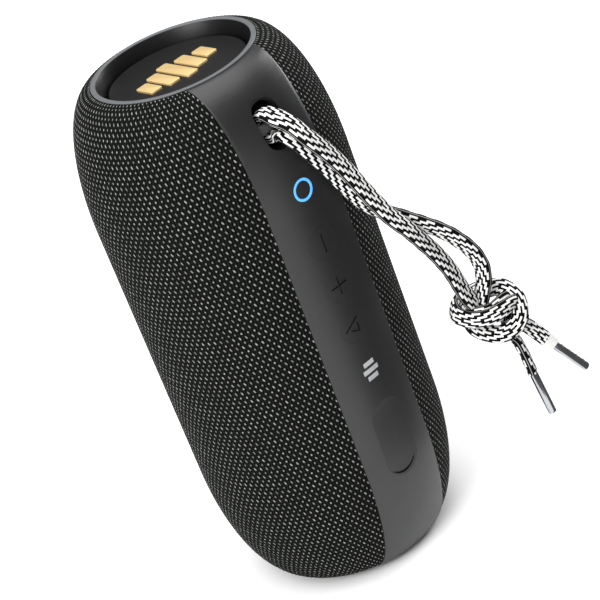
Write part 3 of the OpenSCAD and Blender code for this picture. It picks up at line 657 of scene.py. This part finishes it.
def make_ends():
    recess_r, lip_r, ring_r, flange_r = 22.6, 24, 25.5, 26.8
    disc_r, boss_r, floor_depth = 21.4, 17, 4.1
    ring = [(recess_r, 9), (flange_r, 9), (flange_r, 7.4), (ring_r, 7.4), (ring_r, 0.15),
            (ring_r - 0.04, 0.05), (ring_r - 0.15, 0), (lip_r + 0.1, 0), (lip_r, 0.05), (lip_r - 0.07, 0.2),
            (recess_r, floor_depth)]
    disc = [(0.01, 13.5), (boss_r, 13.5), (boss_r, 5.6), (disc_r, 5.6), (disc_r, 4.5), (disc_r - 0.15, 4.2),
            (disc_r - 0.5, floor_depth), (0.01, floor_depth)]
    ring, disc = ([(r, BODY_H - depth) for r, depth in profile] for profile in (ring, disc))
    for end in ("top", "bottom"):
        for shape, name, material, body, node in (
                (spun(ring), "_end_ring", "ring_gloss", "housing", "_ring"),
                (spun(disc), "_radiator_disc", "radiator_disc", end + "_radiator", "_diaphragm")):
            if end == "bottom":
                shape = turned_over(shape)
            place_piece(shape, end + name, material, body, [end + node])


def make_emblem():
    foot = box_mm("top_emblem")[0].z
    width, pitch, height = 4.2, 5.5, 0.6
    shapes = []
    for i, length in enumerate([8, 12, 16, 12, 8]):
        bm = bmesh.new()
        bmesh.ops.create_cube(bm, size=1)
        bmesh.ops.scale(bm, vec=(width, length, height), verts=bm.verts)
        bmesh.ops.translate(bm, vec=((i - 2) * pitch, 0, foot + height / 2), verts=bm.verts)
        upright = [e for e in bm.edges if abs(e.verts[0].co.z - e.verts[1].co.z) > 0.1]
        bmesh.ops.bevel(bm, geom=upright, offset=0.8, segments=6, profile=0.5, affect="EDGES", material=-1)
        rim = [e for e in bm.edges if all(v.co.z > foot + height - 0.01 for v in e.verts)]
        bmesh.ops.bevel(bm, geom=rim, offset=0.1, segments=2, profile=0.5, affect="EDGES", material=-1)
        shapes.append(bm)
    place_piece(merge(*shapes), "level_bars", "gold_trim", "top_radiator", ["top_emblem"])


# ---- port cover and mark ----

def nail_notch():
    """Outline of the crescent at the cover's lower end, where a fingernail lifts it."""
    x, z, end_z = -0.4, PORT["z"] - 7.4, PORT["z"] - 10.1

    def arc(middle_z, radius, first, last, count):
        turns = [math.radians(first + (last - first) * i / count) for i in range(count + 1)]
        return [(x + radius * math.cos(a), middle_z + radius * math.sin(a)) for a in turns]

    outline = arc(z, 5.5, 195, 330, 18) + arc(z + 1.2, 5.9, -34, -146, 16)
    return [p for p in outline if p[1] < end_z]


def make_port_cover():
    crease, dish, soften, thick = 58.5, 0.28, 0.02, 1.6
    w, h = PORT["w"] - 0.04, PORT["h"] - 0.04
    outline = pill(PORT["x"], PORT["z"], w, h)
    top_end = PORT["z"] + (h - w) / 2
    reach = math.sqrt((w / 2) ** 2 - (crease - top_end) ** 2)
    below = [p for p in outline if p[1] < crease - 0.03]
    left = sorted((p for p in below if p[0] < 0), key=lambda p: -p[1])
    right = sorted((p for p in below if p[0] >= 0), key=lambda p: p[1])
    flap = [(-reach, crease - 0.01)] + left + right + [(reach, crease - 0.01)]
    notch = nail_notch()
    face = merge(plate([flap, notch], 0, thick, soften), plate([notch], 0.7, thick, 0))
    pressed_piece(face, "port_flap_face", "spine_rubber", "port_flap", ["port_cover"], 0.9, dish=dish)
    above = [p for p in outline if p[1] > crease + 0.03]
    above = [(reach, crease + 0.01)] + above + [(-reach, crease + 0.01)]
    root = plate([above], 0, thick, soften)
    pressed_piece(root, "port_flap_root", "spine_rubber", "housing", ["port_cover_tab"], 0.9, dish=dish)


def make_mark():
    shapes = []
    middle = sum(box_mm("spine_mark"), Vector()).z / 2
    for i in (-1, 0, 1):
        half = 2.9 - abs(i) * 0.9
        shapes.append(plate([bar(half, 0.75, middle + i * 2.4)], -0.06, 0.02, 0))
    pressed_piece(merge(*shapes), "printed_levels", "printed_mark", "housing", ["spine_mark"], 0.9)


# ---- strap across the lanyard hole ----

def make_strap():
    bm = bmesh.new()
    bmesh.ops.create_cube(bm, size=1)
    length, bow = HOLE["w"] - 0.04, 0.45
    bmesh.ops.scale(bm, vec=(length, 1.7, 3.1), verts=bm.verts)
    long_edges = [e for e in bm.edges if abs(e.verts[0].co.x - e.verts[1].co.x) > 1]
    bmesh.ops.bevel(bm, geom=long_edges, offset=0.6, segments=5, profile=0.5, affect="EDGES", material=-1)
    cut_every(bm, "x", steps(-length / 2, length / 2, 0.6))
    for v in bm.verts:
        v.co.y -= bow * math.cos(v.co.x / length * math.pi)
    bmesh.ops.translate(bm, vec=(0, BAR_Y, BAR_Z), verts=bm.verts)
    place_piece(bm, "hole_strap", "bar_plastic", "housing", ["lanyard_bar"])


# ---- lanyard ----

WRAP_R = 3.6           # from the strap's middle to the middle of the cord that goes round it
# The cords' routes: from the hole to the knot, and from the knot to the metal tips
UPPER_ROUTE = [
    (0.2, -38.7, 159.5), (1.6, -42.6, 156.9), (3.6, -45, 152), (6.9, -45.5, 146.3), (10.2, -45.5, 140.2),
    (13.6, -45.5, 132.6), (16.8, -45.9, 124.2), (20.1, -46.9, 115.9), (23.9, -47.6, 109.3),
    (27.5, -47.5, 102.8), (31.1, -47.1, 96.1), (34.4, -46.7, 88.5), (36.5, -46, 82.1),
    (38.2, -45.5, 76), (39.9, -45.6, 70.9)]
LOWER_ROUTE = [
    (1.1, -38.7, 153.6), (1.8, -40.8, 152.4), (3.6, -41.8, 149.2), (6.2, -42, 144.2), (9.3, -41.6, 138.4),
    (11.8, -41.2, 133.4), (14.5, -41, 127.8), (18, -40.9, 121), (21.5, -41.8, 115.9), (25, -43.4, 112.3),
    (28.7, -45.5, 108.5), (32.8, -47.6, 104.2), (36.1, -49, 100.3), (38.9, -49.9, 96.2),
    (41.7, -50.5, 91.1), (43.6, -50.4, 85.5), (44.3, -49.3, 80.1), (43.8, -47.6, 75), (42.4, -45.6, 69.8)]
LEFT_ROUTE = [(46.5, -49, 57.5), (48, -49.9, 53), (49, -50.3, 46.5), (49.6, -50.4, 40.2)]
RIGHT_ROUTE = [(49.5, -52, 60), (51.2, -53.4, 57.1), (53.6, -55, 52.4), (56, -56.5, 47.7)]
LEFT_END = (47.9, -55.9, 26.7)
RIGHT_END = (62.6, -60.6, 35.5)


def smooth_line(points, gap):
    """A smooth curve through points, as samples about a gap apart."""
    out = []
    ends = [2 * points[0] - points[1]] + points + [2 * points[-1] - points[-2]]
    for a, b, c, d in zip(ends, ends[1:], ends[2:], ends[3:]):
        count = max(1, round((c - b).length / gap))
        for i in range(count):
            t = i / count
            out.append(0.5 * (2 * b + (c - a) * t + (2 * a - 5 * b + 4 * c - d) * t * t
                              + (3 * b - a - 3 * c + d) * t ** 3))
    return out + [points[-1]]


def quarter_wrap(side):
    """The quarter turn round the strap, from behind it over its upper or lower edge."""
    turns = [math.radians(a) for a in range(0, 91, 30)]
    return [Vector((0, BAR_Y + WRAP_R * math.cos(a), BAR_Z + side * WRAP_R * math.sin(a))) for a in turns]


def vectors(points):
    return [Vector(p) for p in points]


KNOT_AT = Vector((44.6, -47.8, 66.3))
KNOT_TURN = facing(VIEW_AZIMUTH, 28.2, -21.6)
TO_VIEWER = (KNOT_TURN @ Vector((0, 0, 1))).normalized()
# The doubled cord through the overhand knot, in the knot's own right, up and out: its place and its face
KNOT_LINE = [
    ((-6.2, -2.2, -0.8), (0, 0, 1)), ((-5.6, -4.9, -1.2), (0, 0, 1)), ((-2.4, -6.8, -0.7), (0, 0, 1)),
    ((2.2, -7.4, 0.4), (0, 0, 1)), ((5.8, -5.4, 1.5), (0.1, 0, 1)), ((7.7, -1.4, 1.8), (0.2, 0, 1)),
    ((6.6, 3.8, 1), (0.1, 0.1, 1)), ((2.8, 6.8, -1.2), (0, 0.1, 1)), ((-1.8, 6.6, -3.8), (0, -0.2, 1)),
    ((-6.8, 4.4, -4.6), (0.3, -0.2, 1)), ((-10, 1.4, -2.4), (1, -0.2, 0.1)),
    ((-10, -1.6, 1.8), (0.7, 0.2, -0.7)), ((-5.4, -2.3, 4.8), (0.1, 0.5, -0.9)),
    ((-0.2, -0.7, 5.4), (0, 0.5, -0.9)), ((4, 2.6, 3.6), (-0.6, 0.4, -0.7)), ((5, 1.2, -0.4), (-1, 0, 0))]
KNOT_SPLIT = 1.45          # half the distance between the two cords in the knot
CORD_W, CORD_T = 5.6, 3.2  # width and thickness of the cord, then in the knot and in the tails
KNOT_W, KNOT_T = 5.4, 2.9
TAIL_W, TAIL_T = 4.7, 3.2
AGLET_R = 1.38
# How far each cord's face is turned from the viewer, in degrees about the cord; the back one twists over
FRONT_TURN = (-35, -35)
BACK_TURN = (-5, 50)
LEFT_TURN, RIGHT_TURN = -75, 0
GAP = 0.46                 # between the rings of points along the cord


def turned_face(ahead, angle):
    """Direction a cord's face looks: at the viewer, then turned about the cord by an angle in degrees."""
    facing_viewer = (TO_VIEWER - TO_VIEWER.dot(ahead) * ahead).normalized()
    turn = math.radians(angle)
    return facing_viewer * math.cos(turn) + ahead.cross(facing_viewer) * math.sin(turn)


def heading(points, i):
    """Direction of a line at one of its points."""
    return (points[min(i + 1, len(points) - 1)] - points[max(i - 1, 0)]).normalized()


def cord_route(side, strand, turns, tail, tail_turn):
    """Control points of one half of the cord, above or below the strap by side: place, direction its face
    looks, width and thickness."""
    wrap = quarter_wrap(side)
    points = [(p, Vector((0, p.y - BAR_Y, p.z - BAR_Z)).normalized(), CORD_W, CORD_T) for p in wrap]
    run = vectors(strand)
    for i, p in enumerate(run):
        part = min(1, max(0, (i - 4) / 4))
        face = turned_face(heading(run, i), turns[0] + (turns[1] - turns[0]) * part)
        if i == 0:
            face = (face + Vector((0, -side, 0.2)) * 1.5).normalized()
        points.append((p, face, CORD_W, CORD_T))
    for p, n in KNOT_LINE:
        face = (KNOT_TURN @ Vector(n)).normalized()
        points.append((KNOT_AT + KNOT_TURN @ Vector(p) + face * side * KNOT_SPLIT, face, KNOT_W, KNOT_T))
    legs = vectors(tail)
    for i, p in enumerate(legs):
        points.append((p, turned_face(heading(legs, i), tail_turn), TAIL_W, TAIL_T))
    return points


def section(width, thickness, count):
    """Points at even spacing round a flat oval, starting at the middle of one face."""
    def flattened(value):
        return math.copysign(abs(value) ** 0.72, value)

    fine = []
    for i in range(720):
        a = 2 * math.pi * i / 720
        fine.append(Vector((flattened(math.sin(a)) * width / 2, flattened(math.cos(a)) * thickness / 2)))
    lengths = [0.0]
    for a, b in zip(fine, fine[1:] + fine[:1]):
        lengths.append(lengths[-1] + (b - a).length)
    out, at = [], 0
    for k in range(count):
        goal = lengths[-1] * k / count
        while lengths[at + 1] < goal:
            at += 1
        part = (goal - lengths[at]) / (lengths[at + 1] - lengths[at])
        out.append(fine[at].lerp(fine[(at + 1) % 720], part))
    return out


AROUND = 4 * COLUMNS       # points round the cord


def round_cord(k):
    """Place round the cord of one of its points, in columns from the middle of its face."""
    return (k + AROUND / 2) % AROUND / 4 - COLUMNS / 2


def stitch_lift(place, along):
    """Height of the braid's relief at a place round the cord, in columns, and a length along it."""
    inside = (place + 0.5) % 1
    if inside < 0.1 or inside > 0.9:
        return -0.04
    column = abs(math.floor(place + 0.5))
    from_ridge = min(column, COLUMNS / 2 - column)
    phase = (2 * (along / CHEVRON + from_ridge * SLANT)) % 1
    return 0.06 * math.sqrt(math.sin(math.pi * phase)) - 0.03


def braid_tube(points, along_sign, whipping):
    """Sweeps the braid along its control points, whipped with plain yarn for a length at its end; returns the
    shape, its centreline and its length."""
    line = smooth_line([p for p, _, _, _ in points], GAP)
    hints = []
    for (a, u, wa, ta), (b, v, wb, tb) in zip(points, points[1:]):
        count = max(1, round((b - a).length / GAP))
        for i in range(count):
            t = i / count
            t = t * t * (3 - 2 * t)
            hints.append((u.lerp(v, t), wa + (wb - wa) * t, ta + (tb - ta) * t))
    hints.append(points[-1][1:])
    bm = bmesh.new()
    uv = bm.loops.layers.uv.new("braid")
    rings, lengths, length = [], [], 0.0
    shape = section(CORD_W, CORD_T, AROUND)
    for i, (place, (look, width, thickness)) in enumerate(zip(line, hints)):
        ahead = heading(line, i)
        side = look.cross(ahead).normalized()
        face = ahead.cross(side)
        if i:
            length += (place - line[i - 1]).length
        ring = []
        for k, p in enumerate(shape):
            lift = stitch_lift(round_cord(k), along_sign * length)
            p = Vector((p.x * width / CORD_W, p.y * thickness / CORD_T))
            p += p.normalized() * lift
            ring.append(bm.verts.new(place + side * p.x + face * p.y))
        rings.append(ring)
        lengths.append(along_sign * length)
    for i in range(len(rings) - 1):
        whipped = length - abs(lengths[i]) < whipping
        for k in range(AROUND):
            j = (k + 1) % AROUND
            quad = bm.faces.new((rings[i][k], rings[i][j], rings[i + 1][j], rings[i + 1][k]))
            low = round_cord(k) + (WHIPPED_AT if whipped else 0)
            corners = ((low, i), (low + 1 / 4, i), (low + 1 / 4, i + 1), (low, i + 1))
            for loop, (u, v) in zip(quad.loops, corners):
                loop[uv].uv = (u, lengths[v])
    for ring in (rings[0], rings[-1]):
        cap = bm.faces.new(ring)
        for loop in cap.loops:
            loop[uv].uv = (COLUMNS / 4, 0)
    bmesh.ops.recalc_face_normals(bm, faces=bm.faces)
    return bm, line, length


def tip_turn(root, tip):
    """Matrix that stands a shape made along Z at the end of a tail."""
    return Matrix.Translation(root) @ (tip - root).to_track_quat("Z", "Y").to_matrix().to_4x4()


def aglet_shape(root, tip):
    """A smooth metal tip from the end of a tail."""
    reach = (tip - root).length
    bm = bmesh.new()
    profile = [(0.01, -1), (AGLET_R - 0.3, -1), (AGLET_R, -0.8), (AGLET_R, reach - 0.5),
               (AGLET_R - 0.15, reach - 0.12), (AGLET_R - 0.45, reach), (AGLET_R - 0.75, reach - 0.1),
               (0.01, reach - 0.3)]
    verts = [bm.verts.new((r, 0, z)) for r, z in profile]
    edges = [bm.edges.new(pair) for pair in zip(verts, verts[1:] + verts[:1])]
    bmesh.ops.spin(bm, geom=verts + edges, cent=(0, 0, 0), axis=(0, 0, 1), angle=2 * math.pi, steps=40,
                   use_merge=True, use_duplicate=False)
    bmesh.ops.remove_doubles(bm, verts=bm.verts, dist=1e-4)
    bmesh.ops.recalc_face_normals(bm, faces=bm.faces)
    bmesh.ops.transform(bm, matrix=tip_turn(root, tip), verts=bm.verts)
    return bm


def dimple_shade_discs(root, tip):
    """Four black discs in a row along the upper side of a metal tip: painted shade standing in for its
    punched dimples.
    """
    reach = (tip - root).length
    bm = bmesh.new()
    place = tip_turn(root, tip)
    upward = place.to_3x3().inverted() @ (KNOT_TURN @ Vector((0.8, 1, 0.7)))
    around = Matrix.Rotation(math.atan2(upward.y, upward.x), 4, "Z") @ Matrix.Rotation(math.pi / 2, 4, "Y")
    outward = around @ Matrix.Translation((0, 0, AGLET_R - 0.22))
    first, pitch = 2.6, 3.1
    for i in range(4):
        at = Matrix.Translation((0, 0, reach - first - pitch * i)) @ outward
        bmesh.ops.create_cone(bm, cap_ends=True, segments=20, radius1=0.62, radius2=0.55, depth=0.5,
                              matrix=at)
    bmesh.ops.recalc_face_normals(bm, faces=bm.faces)
    bmesh.ops.transform(bm, matrix=place, verts=bm.verts)
    return bm


def make_lanyard():
    halves = [("front", 1, UPPER_ROUTE, FRONT_TURN, LEFT_ROUTE, LEFT_TURN, LEFT_END, 0,
               ["strand_upper", "tail_left", "lanyard_knot"], "aglet_left"),
              ("back", -1, LOWER_ROUTE, BACK_TURN, RIGHT_ROUTE, RIGHT_TURN, RIGHT_END, 4,
               ["strand_lower", "tail_right"], "aglet_right")]
    for name, side, strand, turns, tail, tail_turn, end, whipping, nodes, tip_node in halves:
        bm, line, length = braid_tube(cord_route(side, strand, turns, tail, tail_turn), side, whipping)
        cord = place_piece(bm, "lanyard_" + name, "braided_cord", "lanyard", nodes, crease=80)
        root, end = Vector(tail[-1]), Vector(end)
        tips = [place_piece(aglet_shape(root, end), "aglet_" + name, "aglet_steel", "lanyard", [tip_node])]
        if whipping:
            # Painted shade: black discs where the tip's punched dimples fall into shade
            tips.append(place_piece(dimple_shade_discs(root, end), "aglet_dimple_shade", "black_abs", "lanyard"))


def finish_cad_nodes():
    """Gives every CAD node that stays its material, by the slot that the record names."""
    for part in frame["record"]["subparts"]:
        node = frame["nodes"][part["node"]]
        node.data.materials.clear()
        node.data.materials.append(MATERIALS[part["material_slot"]])


make_camera()
MATERIALS = make_materials()
make_stage()
finish_cad_nodes()
make_sleeve()
make_spine()
make_buttons()
make_power_key()
make_ends()
make_emblem()
make_port_cover()
make_mark()
make_strap()
make_lanyard()
